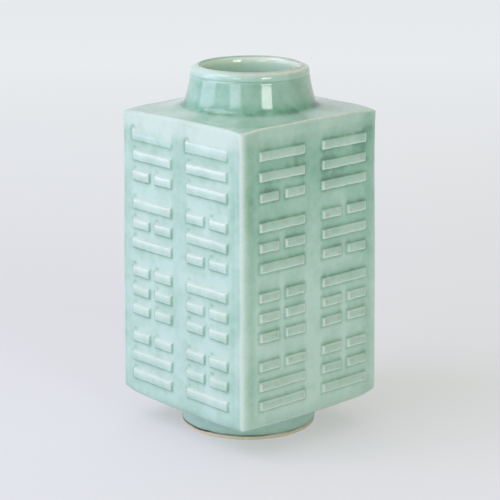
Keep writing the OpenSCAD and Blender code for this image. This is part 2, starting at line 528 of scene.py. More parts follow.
# How much the runs and the spots differ from strip to strip
RUN_RANGE = (0.75, 1.15)
HOOK_RANGE = (0.45, 1.0)
FACE_RUNS = [random.uniform(*RUN_RANGE, len(strips)) for strips in FACE_STRIPS]
FACE_HOOKS = [random.uniform(*HOOK_RANGE, len(strips)) for strips in FACE_STRIPS]


def side_mean(sides, across, up):
    """Value of the sides that a direction points to."""
    level = np.where(across > 0, sides.right, sides.left) * np.square(across)
    upright = np.where(up > 0, sides.top, sides.low) * np.square(up)
    return (level + upright) / (np.square(across) + np.square(up) + TINY)


def by_height(ends, z):
    """Value between those at the foot and at the top of a face."""
    return ends[0] + (ends[1] - ends[0]) * smooth(up_face(z))


def between(value, low, high, soft):
    """1 from low to high, falling to 0 over a soft edge."""
    return smooth((value - low) / soft + 0.5) * smooth((high - value) / soft + 0.5)


def band_share(z):
    """1 in the band on top of a face and 0 under it."""
    return smooth((z - BAND_Z) / BAND_SOFT + 0.5)


def left_by_band(z):
    """Share of a pool that stays: all of it under the band on top of a face, and less in the band."""
    return 1 - BAND_PALE * smooth((z - BAND_Z) / BAND_SOFT)


def ground_deep_and_shade(face, u, z):
    """Glaze left deep high on a face, most between its columns and least in the band on top. Its rise
    toward the top, strongest on the right face, is partly painted shade where less light from the floor
    reaches.
    """
    first, second = FACE_COLUMNS[face]
    column = between(u, *first, COLUMN_SOFT) + between(u, *second, COLUMN_SOFT)
    middle = between(u, first[1], second[0], COLUMN_SOFT)
    margin = np.clip(1 - column - middle, 0, 1)
    share = middle + COLUMN_SHARE[face] * column + MARGIN_SHARE[face] * margin
    rise = GROUND_DEEP_AND_SHADE[face] * ramp(z, DEEP_SPAN) * share
    channel = CHANNEL_DEEP[face] * middle
    top_share = column + TOP_MIDDLE_SHARE * middle + TOP_MARGIN_SHARE * margin
    top = swell(TOP_DEEP, z, face) * top_share
    return both(rise, channel, top, swell(LOW_DEEP, z, face)) * left_by_band(z)


def ground_thin_and_bounce(face, z):
    """Glaze that ran off the band on top of a face and lies a little paler all over. Lower down it is paler
    again, most on the right face, partly as painted light from the floor, and a pale line just above the
    lower edge is a painted highlight.
    """
    band = BAND_THIN[face] * band_share(z)
    low = LOW_THIN_AND_BOUNCE[face] * (1 - up_face(z)) ** LOW_THIN_FALL
    return both(band, swell(LOW_EDGE_HIGHLIGHT, z, face), EVEN_THIN[face], low)


def ground_stain(face, z):
    """Warmer glaze on the band on top of a face."""
    return BAND_STAIN[face] * band_share(z)


Around = namedtuple("Around", "across up out_u out_z half_w half_h")


def around_strips(face, u, z):
    """Places of points as seen from each strip of a face: from its middle, and out past its sides."""
    strip_u, strip_z, half_w, half_h = np.array(FACE_STRIPS[face]).T
    across = u[:, None] - strip_u
    up = z[:, None] - strip_z
    return Around(across, up, np.abs(across) - half_w, np.abs(up) - half_h, half_w, half_h)


def trail(around, length, sign):
    """Falls off over the given length above each strip, or below it when the sign is negative."""
    beyond = np.maximum(around.out_z, 0)
    return np.exp(-beyond / length) * smooth(0.5 - around.out_u / RUN_SOFT) * (sign * around.up > 0)


def in_loop(around):
    """Places as seen from the loops over the strips' left ends: shares of their radii across and up."""
    across = (around.across + around.half_w - LOOP_IN) / LOOP_SIZE[0]
    return across, (around.up - around.half_h + LOOP_DOWN) / LOOP_SIZE[1]


def hooks(face, around):
    """Dark glaze and painted shade over the upper left corners of the strips: spots, and loops on the
    melted strips.
    """
    across = (around.across + around.half_w - HOOK_IN) / HOOK_SIZE[0]
    up = (around.up - around.half_h - HOOK_UP) / HOOK_SIZE[1]
    spots = FACE_HOOKS[face] * bell(np.hypot(across, up))
    across, up = in_loop(around)
    shown = smooth(0.5 + LOOP_LOW_FADE * up - LOOP_RIGHT_FADE * np.maximum(across, 0))
    loops = bell((np.hypot(across, up) - 1) / LOOP_W) * shown
    return HOOK_DEEP_AND_SHADE[face] * np.where(FACE_MELTED[face] > 0, loops, spots).max(1)


def pool_and_shade_by_strips(face, u, z):
    """Glaze gathered round the strips of a face at the points u, z, with painted shade round, above and
    under them.
    """
    around = around_strips(face, u, z)
    gap = np.hypot(np.maximum(around.out_u, 0), np.maximum(around.out_z, 0))
    toward_u = np.maximum(around.out_u + RING_IN, 0) * np.sign(around.across)
    toward_z = np.maximum(around.out_z + RING_IN, 0) * np.sign(around.up)
    faded = smooth(0.5 + around.up / around.half_h) * smooth((around.across + around.half_w) / RING_END)
    kept = 1 - FACE_MELTED[face] * faded
    ring = kept * side_mean(RING_DEEP_AND_SHADE[face], toward_u, toward_z) * bell((gap - RING_PLACE) / RING_W[face])
    run_and_shade = by_height(RUN_DEEP_AND_SHADE[face], z)[:, None] * FACE_RUNS[face] * trail(around, RUN_LENGTH, 1)
    under = by_height(UNDER_DEEP_AND_SHADOW[face], z)[:, None] * trail(around, UNDER_LENGTH, -1)
    in_signs = sum(
        between(u, left, right, RUN_SOFT) * between(z, low, high, SIGN_SOFT)
        for left, right, low, high in FACE_SIGNS[face]
    )
    between_lines = by_height(BETWEEN_DEEP[face], z) * in_signs
    return both(ring.max(1), run_and_shade.max(1), under.max(1), hooks(face, around), between_lines)


def thin_and_highlight_by_strips(face, u, z):
    """Paler just above the strips, partly thinner glaze and partly a painted sheen, and a painted highlight
    in the loops over the melted ones.
    """
    around = around_strips(face, u, z)
    above = ABOVE_THIN_AND_SHEEN[face] * trail(around, ABOVE_LENGTH, 1).max(1)
    within = bell(np.hypot(*in_loop(around)) / LOOP_HIGHLIGHT_REACH)
    loop_highlight = LOOP_HIGHLIGHT * ((FACE_MELTED[face] > 0) * within).max(1)
    return both(above, loop_highlight) * (1 - hooks(face, around))


def pool_by_ridge(face, u, z, distance):
    """A wide pool beside the ridge, weaker in the band on top, and a fine line at its edge."""
    wide, fine = (
        np.where(u < 0, *kind.most[face]) * bell((distance - kind.place) / kind.width)
        for kind in (RIDGE_DEEP, RIDGE_LINE)
    )
    return both(wide * left_by_band(z), fine)


def thin_by_ridge(face, u, distance):
    return RIDGE_THIN * bell(distance / np.where(u < 0, *RIDGE_W[face]))


# Meshes

# Fields on each mesh: thinner glaze with painted highlights and reflections, deeper glaze with painted
# shade, and warmer stain
Shell = namedtuple("Shell", "points faces thin pool stain")
FIELDS = ("thin", "pool", "stain")


def grid_index(rows, columns):
    return np.arange(rows * columns).reshape(rows, columns)


def grid_faces(index):
    """Quads over a grid of vertex numbers."""
    corners = (index[:-1, :-1], index[:-1, 1:], index[1:, 1:], index[1:, :-1])
    return np.stack(corners, -1).reshape(-1, 4).tolist()


def closed(index):
    """A grid of vertex numbers with its first column repeated at the end."""
    return np.column_stack((index, index[:, :1]))


def ring_faces(index):
    """Quads over a grid that closes both ways, as on a ring."""
    return grid_faces(closed(np.concatenate((index, index[:1]))))


def join_shells(shells):
    faces, start = [], 0
    for shell in shells:
        faces += [[start + corner for corner in face] for face in shell.faces]
        start += len(shell.points)
    parts = ("points", *FIELDS)
    points, *fields = (np.concatenate([getattr(shell, part) for shell in shells]) for part in parts)
    return Shell(points, faces, *fields)


def add_object(name, data):
    made = bpy.data.objects.new(name, data)
    bpy.context.scene.collection.objects.link(made)
    return made


def make_piece(name, shell, material):
    """Makes a piece that stands for the CAD node of that name."""
    mesh = bpy.data.meshes.new(f"glazed_{name}")
    mesh.from_pydata((warp(shell.points) * MM).tolist(), [], shell.faces)
    tidy = bmesh.new()
    tidy.from_mesh(mesh)
    bmesh.ops.recalc_face_normals(tidy, faces=tidy.faces)
    tidy.to_mesh(mesh)
    tidy.free()
    for field in FIELDS:
        values = np.clip(getattr(shell, field), 0, 1).astype(np.float32)
        mesh.attributes.new(field, "FLOAT", "POINT").data.foreach_set("value", values)
    mesh.shade_smooth()
    mesh.set_sharp_from_angle(angle=SHARP_ANGLE)
    mesh.materials.append(material)
    piece = add_object(f"glazed_{name}", mesh)
    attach(piece, "root")
    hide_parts(name)
    return piece


def side_plan(step):
    """Plan of the front side from mitre to mitre: core places, outward normals, distances from a ridge."""
    inner = HALF_W - EDGE_R
    turn = np.linspace(0, math.pi / 4, CORNER_STEPS + 1)
    flat = np.linspace(-inner, inner, round(2 * inner / step) + 1)[1:-1]
    angles = 1.5 * math.pi + np.concatenate((turn - math.pi / 4, np.zeros(len(flat)), turn))
    x = np.concatenate((np.full(len(turn), -inner), flat, np.full(len(turn), inner)))
    core = np.column_stack((x, np.full(len(x), -inner)))
    normal = np.column_stack((np.cos(angles), np.sin(angles)))
    quarter = EDGE_R * math.pi / 4
    ridge = np.concatenate((EDGE_R * turn, quarter + inner - np.abs(flat), quarter - EDGE_R * turn))
    return core, normal, ridge


def wall_shell(face):
    core, normal, ridge = side_plan(WALL_STEP)
    low_edge = arc((LOW_EDGE_R, BODY_LOW + LOW_EDGE_R), LOW_EDGE_R, -90, -180, LOW_EDGE_STEPS)
    upright = line((0, BODY_LOW + LOW_EDGE_R), (0, WALL_TOP), round((WALL_TOP - BODY_LOW) / WALL_STEP))
    rows = np.concatenate((low_edge, upright[1:]))
    plan = core[None] + normal[None] * (EDGE_R - rows[:, :1, None])
    shape = plan.shape[:2]
    heights = np.broadcast_to(rows[:, 1:, None], (*shape, 1))
    skin = np.concatenate((plan, heights), 2).reshape(-1, 3)
    index = grid_index(*shape)
    inner = [(x, -INNER_HALF, z) for z in (BODY_LOW, WALL_TOP) for x in (-INNER_HALF, INNER_HALF)]
    low_left, low_right, top_left, top_right = range(len(skin), len(skin) + len(inner))
    faces = [
        *grid_faces(index),
        [*index[-1].tolist(), top_right, top_left],
        [*index[0].tolist(), low_right, low_left],
        [*index[:, 0].tolist(), top_left, low_left],
        [*index[:, -1].tolist(), top_right, low_right],
        [low_left, low_right, top_right, top_left],
    ]
    from_ridge = np.broadcast_to(ridge, shape).ravel()
    u, _, z = skin.T
    on_ridge = thin_by_ridge(face, u, from_ridge)
    by_ridge = pool_by_ridge(face, u, z, from_ridge)
    thin = both(on_ridge, ground_thin_and_bounce(face, z), thin_and_highlight_by_strips(face, u, z))
    pool = both(pool_and_shade_by_strips(face, u, z), ground_deep_and_shade(face, u, z), by_ridge) * (1 - on_ridge)
    points = turned(np.concatenate((skin, inner)), face)
    fields = [np.append(values, np.zeros(len(inner))) for values in (thin, pool, ground_stain(face, z))]
    return Shell(points, faces, *fields)


SHOULDER_DEEP = 0.38
SHOULDER_STAIN = 0.08
# Round the foot of the neck: pooled glaze and painted shade in the crease
JOIN_DEEP_AND_SHADE = Swell(0.7, NECK_R + 1.0, 3.2)
# Along the top edge of each side
EDGE_PALE = np.array((0.55, 0.95, 0.8, 0.7))
EDGE_STAIN = np.array((0.0, 0.22, 0.1, 0.1))
EDGE_PALE_PLACE = 0.5
EDGE_PALE_W = 1.2
BLEMISH = (-50.0, -34.5)
BLEMISH_SIZE = (3.0, 1.3)
BLEMISH_STAIN = 0.85
# Room for rounding where heights are compared
ROUNDING = 0.01


def all_round(part):
    """Plan values of the front side, turned to all four sides. Plain distances are only repeated."""
    if part.ndim == 1:
        return np.tile(part[:-1], 4)
    flat = np.column_stack((part, np.zeros(len(part))))[:-1]
    return np.concatenate([turned(flat, face)[:, :2] for face in range(4)])


def shoulder_rows(core, normal):
    """Rings of points up the shoulder's side, over its edge and top and into its opening."""
    inset = core + normal * (EDGE_R - TOP_EDGE_R)
    edge_z = shoulder_height(reach_of(inset)) - TOP_EDGE_R
    rows = []
    for share in np.linspace(0, 1, SHOULDER_SIDE_STEPS + 1):
        rows.append((core + normal * EDGE_R, WALL_TOP + share * (edge_z - WALL_TOP)))
    for turn in np.radians(np.linspace(0, 90, TOP_EDGE_STEPS + 1))[1:]:
        place = core + normal * (EDGE_R - TOP_EDGE_R * (1 - math.cos(turn)))
        rows.append((place, edge_z + TOP_EDGE_R * math.sin(turn)))
    way = inset / reach_of(inset)[:, None]
    seat = way * (NECK_R + SLIP_GAP)
    for share in np.linspace(0, 1, SHOULDER_TOP_STEPS + 1)[1:]:
        place = inset + share * (seat - inset)
        rows.append((place, shoulder_height(reach_of(place))))
    opening = way * NECK_INNER_R
    rows += [(seat, NECK_SEAT), (opening, NECK_SEAT), (opening, WALL_TOP)]
    points = [np.column_stack((place, np.broadcast_to(z, len(place)))) for place, z in rows]
    return np.array(points), edge_z


def shoulder_shell():
    core, normal, ridge = (all_round(part) for part in side_plan(SHOULDER_STEP))
    points, edge_z = shoulder_rows(core, normal)
    rows = len(points)
    faces = ring_faces(grid_index(rows, len(core)))
    points = points.reshape(-1, 3)
    z = points[:, 2]
    reach = reach_of(points)
    from_ridge = np.tile(ridge, rows)
    face = np.tile(np.repeat(np.arange(4), len(core) // 4), rows)
    side = z < np.tile(edge_z, rows) + ROUNDING
    on_ridge, side_thin, side_deep_and_shade, side_stain = np.zeros((4, len(points)))
    for number in range(4):
        here = side & (face == number)
        u = turned(points[here], -number)[:, 0]
        on_ridge[here] = thin_by_ridge(number, u, from_ridge[here])
        side_thin[here] = ground_thin_and_bounce(number, z[here])
        side_stain[here] = ground_stain(number, z[here])
        by_ridge = pool_by_ridge(number, u, z[here], from_ridge[here])
        side_deep_and_shade[here] = both(ground_deep_and_shade(number, u, z[here]), by_ridge)
    in_from_edge = np.abs(np.max(np.abs(points[:, :2]), axis=1) - HALF_W + EDGE_PALE_PLACE)
    down_from_edge = np.abs(z - shoulder_height(reach) + EDGE_PALE_PLACE)
    edge = EDGE_PALE[face] * bell((in_from_edge + down_from_edge) / EDGE_PALE_W)
    thin = both(on_ridge, edge, side_thin)
    top = both(SHOULDER_DEEP, swell(JOIN_DEEP_AND_SHADE, reach)) * ~side
    pool = (top + side_deep_and_shade) * (1 - on_ridge) * (1 - edge)
    blemish = np.hypot(*((points[:, :2] - BLEMISH) / BLEMISH_SIZE).T)
    stain = both(BLEMISH_STAIN * bell(blemish), EDGE_STAIN[face] * edge, side_stain, SHOULDER_STAIN * ~side)
    return Shell(points, faces, thin, pool, stain)


def lathe_shell(profile, thin, pool, stain):
    """Turns a closed outline of radius and height round the axis."""
    angles = np.linspace(0, 2 * math.pi, LATHE_STEPS, endpoint=False)
    radius, height = profile[:, :1], profile[:, 1:]
    heights = np.broadcast_to(height, (len(profile), LATHE_STEPS))
    points = np.stack((radius * np.cos(angles), radius * np.sin(angles), heights), 2)
    faces = ring_faces(grid_index(len(profile), LATHE_STEPS))
    fields = [np.repeat(values, LATHE_STEPS) for values in (thin, pool, stain)]
    return Shell(points.reshape(-1, 3), faces, *fields)


# The lip's outside, its slope and its inner edge, by distance out from the mouth and down from the rim
LIP_FACE = ((8.1, 6.6), (8.5, 5.0), (7.85, 3.0))
LIP_TURN = ((7.85, 3.0), (7.4, 1.8), (6.1, 1.35))
LIP_SLOPE = ((6.1, 1.35), (3.4, 0.3))
LIP_EDGE = ((3.4, 0.3), (2.9, 0.0), (2.6, 0.0))
LIP_THROAT_H = 6.0
# The groove under the lip, by distance out from the neck's top and up from the groove
GROOVE_DROP = 1.2
GROOVE_SKIN_Z = GROOVE_Z - GROOVE_DROP
GROOVE_EDGE = ((-0.02, -0.5), (-0.4, -0.1))
GROOVE_EDGE_H = 1.5
GROOVE_BED = (-0.65, 0.15)
# The fillet's thin skirt on the shoulder: its sink, and its thickness at the neck and at its edge
SKIRT_SINK = 0.04
SKIRT_T = (0.7, 0.4)

# Depth of the neck's glaze
NECK_DEEP = 0.5
NECK_DEEP_RISE = 6.0
# Where the neck meets the shoulder, by distance out from the neck and up from the shoulder
JUNCTION = (0.7, 0.5)
# Darker where the neck meets the shoulder: pooled glaze and painted shade in the crease
JUNCTION_DEEP_AND_SHADE = Swell(0.98, 0.0, 5.4)
# Round that place the glaze is as deep on every side, and has no stain
JUNCTION_EVEN_W = 5.0
JUNCTION_CLEAN_W = 6.0
GROOVE_DEEP = Swell(0.05, GROOVE_SKIN_Z - 0.1, 0.9)
# A darker inner edge on the lip's top: painted shade
LIP_EDGE_SHADE = 0.2
LIP_EDGE_STAIN = 0.42
LIP_EDGE_Z = 1.7
LIP_EDGE_OUT = 3.8
LIP_EDGE_SOFT = 0.9
LIP_THIN = Swell(0.26, RIM - 0.6, 3.2)
LIP_STAIN = Swell(0.29, RIM - 2.0, 3.0)
NECK_STAIN = 0.15
NECK_STAIN_RISE = 2.0
NECK_STAIN_SHARE = 0.75
# Paler toward the corner between the right and the back wall: painted light on that side of the neck
NECK_PAINTED_LIGHT = 0.4
NECK_LIT_WAY = np.array((0.67, 0.74))
# The neck's outside begins this far out from the mouth
OUTSIDE_FROM = 0.1


def lip_outline():
    """Outline of the lip from its groove down into the throat: an upright face, a slope and a soft edge."""
    parts = (LIP_FACE, LIP_TURN, LIP_SLOPE, LIP_EDGE)
    face, turn, slope, edge = ([(MOUTH_R + out, RIM - down) for out, down in part] for part in parts)
    outside = (
        bezier(*face, steps=10),
        bezier(*turn, steps=8)[1:],
        line(*slope, steps=6)[1:],
        bezier(*edge, steps=4)[1:],
    )
    angles = np.radians(np.linspace(90, 0, THROAT_STEPS + 1))
    edge_r = edge[-1][0]
    throat_r = edge_r - (edge_r - MOUTH_R) * np.cos(angles)
    throat = np.column_stack((throat_r, RIM - LIP_THROAT_H * (1 - np.sin(angles))))
    return np.concatenate((*outside, throat[1:]))


def neck_outline():
    """Closed outline of the neck: its outside from the shoulder up, the lip, the inside and the seat."""
    foot_out = NECK_R + NECK_FILLET
    skirt_z = shoulder_height(foot_out) - SKIRT_SINK
    lip = lip_outline()
    hollow_z = np.linspace(SHOULDER_TOP + NECK_FILLET, GROOVE_SKIN_Z - GROOVE_EDGE_H, HOLLOW_STEPS + 1)
    hollow = np.column_stack((neck_radius(hollow_z), hollow_z))
    fillet = bezier((foot_out, skirt_z), (neck_radius(SHOULDER_TOP), SHOULDER_TOP), hollow[0], steps=10)
    groove_places = (*GROOVE_EDGE, GROOVE_BED)
    edge_bend, edge_end, bed = ((NECK_TOP_R + out, GROOVE_SKIN_Z + up) for out, up in groove_places)
    edge = bezier(hollow[-1], edge_bend, edge_end, steps=5)
    groove = bezier(edge_end, bed, lip[0], steps=5)
    throat_end = (MOUTH_R, LIP_Z - THROAT_H)
    throat = line(lip[-1], throat_end, steps=8)
    flare = line(throat_end, (NECK_INNER_R, NECK_SEAT), steps=8)
    seat = ((NECK_R, NECK_SEAT), (NECK_R, SHOULDER_TOP - SKIRT_T[0]), (foot_out, skirt_z - SKIRT_T[1]))
    return np.concatenate((fillet, hollow[1:], edge[1:], groove[1:], lip[1:], throat[1:], flare[1:], seat))


def neck_shell():
    profile = neck_outline()
    radius, height = profile.T
    outside = radius > MOUTH_R + OUTSIDE_FROM
    junction = np.hypot(radius - NECK_R - JUNCTION[0], height - SHOULDER_TOP - JUNCTION[1])
    beyond_edge = np.maximum(radius - MOUTH_R - LIP_EDGE_OUT, 0)
    inner_edge = smooth((height - RIM + LIP_EDGE_Z) / LIP_EDGE_SOFT) * bell(beyond_edge / LIP_EDGE_SOFT)
    pool = both(
        NECK_DEEP * smooth((LIP_Z - height) / NECK_DEEP_RISE) * outside,
        swell(JUNCTION_DEEP_AND_SHADE, junction),
        swell(GROOVE_DEEP, height) * outside,
        LIP_EDGE_SHADE * inner_edge,
    )
    thin = swell(LIP_THIN, height) * (1 - inner_edge)
    clean = bell(junction / JUNCTION_CLEAN_W)
    stain = both(
        swell(LIP_STAIN, height) * outside,
        LIP_EDGE_STAIN * inner_edge,
        NECK_STAIN * smooth((GROOVE_Z - height) / NECK_STAIN_RISE) * outside * (1 - clean),
    )
    shell = lathe_shell(profile, thin, pool, stain)
    toward = shell.points[:, :2] @ NECK_LIT_WAY / NECK_TOP_R
    # Painted light on the neck's side toward the corner between the right and the back wall
    lit_side = smooth(toward) * (1 - np.repeat(bell(junction / JUNCTION_EVEN_W), LATHE_STEPS))
    return shell._replace(
        thin=shell.thin * (1 + lit_side),
        pool=shell.pool * (1 - NECK_PAINTED_LIGHT * lit_side),
        stain=shell.stain * smooth(NECK_STAIN_SHARE + toward),
    )


# The foot's outside, by distance in from its radius and up from the solid's bevel: a taper and a soft turn
FOOT_TAPER = (0.7, 1.6)
FOOT_TURN = ((0.75, 0.0), (1.0, -1.75))
# The tread's outer edge, by distance out from the drawn-in radius and height
FOOT_EDGE = (0.1, FOOT_CHAMFER + 0.25)
FOOT_EDGE_BEND = (-0.15, 0.0)
# The thin skirt that the fillet lays under the base, as at the neck
FOOT_SKIRT_SINK = 0.05
FOOT_SKIRT_T = (0.7, 0.5)
FOOT_SKIRT_OUT = 0.1
# Depth of the foot's glaze
FOOT_DEEP = 0.05
FOOT_TOP_DEEP = Swell(0.15, BODY_LOW, 4.0)
FOOT_LOW_DEEP = Swell(0.3, 5.0, 2.5)
FOOT_THIN = Swell(0.2, FOOT_BEVEL_H, 2.0)


def foot_outline():
    """Closed outline of the foot ring: the outside from the base down, the tread, the inside, the seat."""
    inner_r = FOOT_R - FOOT_T
    low_r = FOOT_R - FOOT_DRAW
    skirt_r = FOOT_R + FOOT_FILLET
    skirt_start = (skirt_r, BODY_LOW + FOOT_SKIRT_SINK)
    skirt = bezier(skirt_start, (FOOT_R, BODY_LOW), (FOOT_R, BODY_LOW - FOOT_FILLET), steps=8)
    outside = (FOOT_TAPER, *FOOT_TURN)
    taper_end, turn_bend, turn_end = ((FOOT_R - inward, FOOT_BEVEL_H + up) for inward, up in outside)
    upright = line(skirt[-1], taper_end, steps=8)
    turn = bezier(taper_end, turn_bend, turn_end, steps=6)
    edge, edge_bend = ((low_r + out, z) for out, z in (FOOT_EDGE, FOOT_EDGE_BEND))
    bevel = line(turn_end, edge, steps=12)
    tread = bezier(edge, edge_bend, (low_r - FOOT_CHAMFER, 0.0), steps=5)
    rest = line(tread[-1], (inner_r + FOOT_CHAMFER, 0.0), steps=4)
    inner_edge = bezier(rest[-1], (inner_r, 0.0), (inner_r, FOOT_CHAMFER), steps=4)
    inside = line(inner_edge[-1], (inner_r, FOOT_TOP), steps=8)
    seat_side = (FOOT_R + FOOT_SKIRT_OUT, BODY_LOW + FOOT_SKIRT_T[0])
    seat = ((FOOT_R, FOOT_TOP), seat_side, (skirt_r, BODY_LOW + FOOT_SKIRT_T[1]))
    stretches = (upright, turn, bevel, tread, rest, inner_edge, inside)
    return np.concatenate((skirt, *(stretch[1:] for stretch in stretches), seat))


def foot_shell():
    profile = foot_outline()
    height = profile[:, 1]
    pool = both(FOOT_DEEP, swell(FOOT_TOP_DEEP, height), swell(FOOT_LOW_DEEP, height))
    return lathe_shell(profile, swell(FOOT_THIN, height), pool, np.zeros(len(profile)))


Loop = namedtuple("Loop", "long short corner")
STRIP_LOOP = Loop(40, 6, 5)
# Offsets of a strip's outlines from its edge, outside first
STRIP_OFFSETS = (
    1.7, 1.25, 0.9, 0.6, 0.35, 0.15, -0.05, -0.25,
    -0.45, -0.7, -1.0, -1.35, -1.75, -2.2, -2.7, -3.3,
)
LEAST_CORNER_R = 0.22
EDGE_SHIFT = 0.6
# The foot of a strip's side ends a little under the wall's skin
UNDER_SKIN = 0.05
UNDER_FROM = 0.6
UNDER_W = 0.8
# The upper edges of the front face's top strips melt into the band above them
MELTED_LIFT = 0.2
MELTED_SINK = 0.06
# Strips pressed by hand differ in height, tilt and length, and waver by these sizes over these lengths
STRIP_LIFT = (0.86, 1.08)
STRIP_TILT = 0.004
STRIP_GROW = 0.25
SWELL = (0.07, 4.5)
END_WAVER = (0.12, 1.6)
EDGE_WAVERS = ((0.13, 3.1), (0.1, 1.4))


def rounded_loop(half_w, half_h, radius):
    """Outline of a rounded oblong, with the same number of points for every size of one strip."""
    x, z = half_w - radius, half_h - radius
    bends = [
        arc(centre, radius, 90 * quarter, 90 * (quarter + 1), STRIP_LOOP.corner)
        for quarter, centre in enumerate(((x, z), (-x, z), (-x, -z), (x, -z)))
    ]
    points = []
    for quarter, bend in enumerate(bends):
        steps = STRIP_LOOP.short if quarter % 2 else STRIP_LOOP.long
        points += [bend, line(bend[-1], bends[(quarter + 1) % 4][0], steps)[1:-1]]
    return np.concatenate(points)


def strip_height(offset, half_h):
    """Height over the wall: a soft side that ends under the wall's skin, and a crowned top."""
    side = smooth((EDGE_SHIFT - offset) / STRIP_EDGE)
    toward_middle = np.clip(-offset / half_h, 0, 1)
    crown = STRIP_CROWN * (1 - np.square(1 - toward_middle))
    return side * (RELIEF - STRIP_CROWN) + crown - UNDER_SKIN * smooth((offset - UNDER_FROM) / UNDER_W)


def strip_outlines(strip, grow):
    """Outlines of a strip from the glaze's edge up to the crown, with their offsets and heights."""
    loops, heights = [], []
    for offset in STRIP_OFFSETS:
        radius = max(STRIP_CORNER_R + offset, LEAST_CORNER_R)
        loops.append(rounded_loop(strip.half_w + grow + offset, strip.half_h + offset, radius))
        heights.append(strip_height(offset, strip.half_h))
    # The first outline comes twice, to begin inside the wall
    count = len(loops[0])
    offsets = np.repeat((STRIP_OFFSETS[0], *STRIP_OFFSETS), count)
    return np.concatenate((loops[0], *loops)), offsets, np.repeat((-STRIP_SINK, *heights), count)


def waver(size_and_length, place, turn):
    size, length = size_and_length
    return size * np.sin(place / length + turn)


def strip_shell(face, strip):
    """One luted strip, a little uneven as pressed by hand."""
    swing = random.uniform(0, 2 * math.pi, 5)
    lift = random.uniform(*STRIP_LIFT)
    tilt = random.normal(0, STRIP_TILT)
    grow = random.normal(0, STRIP_GROW)
    flat, offset, height = strip_outlines(strip, grow)
    across, up = flat.T
    melted = melted_share(face, strip)
    fading = smooth(0.5 + 0.5 * up / strip.half_h)
    lift = lift * (1 - melted * (1 - MELTED_LIFT * (1 - fading)))
    height = np.where(height > 0, height * lift * (1 + waver(SWELL, across, swing[0])), height)
    height = height - melted * MELTED_SINK * fading
    side = smooth(0.5 - offset / 2)
    u = strip.u + across + side * waver(END_WAVER, up, swing[1])
    edge_waver = sum(waver(kind, across, turn) for kind, turn in zip(EDGE_WAVERS, swing[2:]))
    z = strip.z + up + tilt * across + side * edge_waver
    points = turned(np.column_stack((u, -HALF_W - height, z)), face)
    rows = len(STRIP_OFFSETS) + 1
    index = grid_index(rows, len(points) // rows)
    faces = [*grid_faces(closed(index)), index[0].tolist(), index[-1].tolist()]
    return Shell(points, faces, *strip_glaze(face, strip, across, up, offset))


def strip_glaze(face, strip, across, up, offset):
    """Glaze of a strip: thinner at its edges, toned on top, pooled off its sides, stained near its ends.
    The paler upper part and edge, and the paler lower edge on the right face, are partly painted
    highlights; the darker lower half is painted shade.
    """
    top_share = random.uniform(*TOP_EDGE_SHARE)
    kept = 1 - melted_share(face, strip)
    u, level = strip.u + across, strip.z + up
    toward_u = np.maximum(np.abs(across) - strip.half_w + EDGE_SIDE, 0) * np.sign(across)
    toward_z = np.maximum(np.abs(up) - strip.half_h + EDGE_SIDE, 0) * np.sign(up)
    ends = [side_mean(sides[face], toward_u, toward_z) for sides in (EDGE_LOW, EDGE_HIGH)]
    upward = np.square(np.maximum(toward_z, 0)) / (np.square(toward_u) + np.square(toward_z) + TINY)
    edge = by_height(ends, level) * (1 + (top_share - 1) * upward) * kept
    width_in = side_mean(EDGE_W_IN[face], toward_u, toward_z) + EDGE_W_LEAST
    edge = edge * bell((offset + EDGE_PLACE) / np.where(offset > -EDGE_PLACE, EDGE_W_OUT, width_in))
    on_top = smooth(-offset / ON_TOP_SOFT)
    fall = np.clip(0.5 - up / (2 * strip.half_h), 0, 1)
    pale_top, pale_low = STRIP_PALE_AND_HIGHLIGHT[face]
    top_fall, low_fall = STRIP_PALE_FALL
    pale = (pale_top * (1 - fall) ** top_fall + pale_low * fall**low_fall) * on_top * kept
    above = thin_and_highlight_by_strips(face, u, level) * (1 - on_top)
    thin = both(edge, ground_thin_and_bounce(face, level), pale, above)
    around = pool_and_shade_by_strips(face, u, level) * smooth((offset + POOL_IN) / POOL_IN)
    own = both(by_height(STRIP_DEEP[face], level), LOWER_HALF_SHADE[face] * smooth(0.5 - up / strip.half_h))
    pool = both(around, ground_deep_and_shade(face, u, level) * (1 - on_top) + own * on_top) * (1 - edge)
    stain = STRIP_STAIN[face] * on_top * smooth(STRIP_STAIN_MIDDLE + 0.5 * up / strip.half_h)
    for end in (-1, 1):
        spot_u = end * (strip.half_w - random.uniform(*SPOT_IN))
        spot_up = random.uniform(*SPOT_UP)
        spot = np.hypot((across - spot_u) / SPOT_SIZE[0], (up - spot_up) / SPOT_SIZE[1])
        stain = both(stain, SPOT_STAIN[face] * random.uniform(*SPOT_SHARE) * bell(spot) * on_top)
    return thin, pool, stain


def trigram_shell(face, name):
    return join_shells([strip_shell(face, strip) for strip in trigram_strips(face, name)])


# Materials

def srgb(red, green, blue):
    """Linear colour of an 8-bit screen colour."""
    values = np.array((red, green, blue)) / 255
    linear = np.where(values <= 0.04045, values / 12.92, ((values + 0.055) / 1.055) ** 2.4)
    return (*linear.tolist(), 1.0)


GLAZE = srgb(175, 203, 190)
GLAZE_DEEP = srgb(112, 162, 134)
GLAZE_DEEPEST = srgb(85, 126, 111)
DEEPEST = (0.9, 1.2)
GLAZE_THIN = srgb(208, 217, 202)
GLAZE_STAIN = srgb(168, 161, 138)
GLAZE_SPECK = srgb(120, 126, 100)
CLAY = srgb(236, 219, 188)
CLAY_BURNT = srgb(54, 45, 32)
# Lighter glaze inside the throat, palest toward the mouth: painted light
THROAT_PAINTED_LIGHT = srgb(166, 212, 190)
MOUTH_PAINTED_LIGHT = srgb(216, 229, 208)
GLAZE_IOR = 1.55
# Where the throat's lighter glaze begins, out from the mouth and down from the rim, and where it is palest:
# painted light
THROAT_OUT = (2.4, 3.0)
THROAT_DOWN = (2.2, 1.2)
THROAT_PALE_DOWN = 2.0

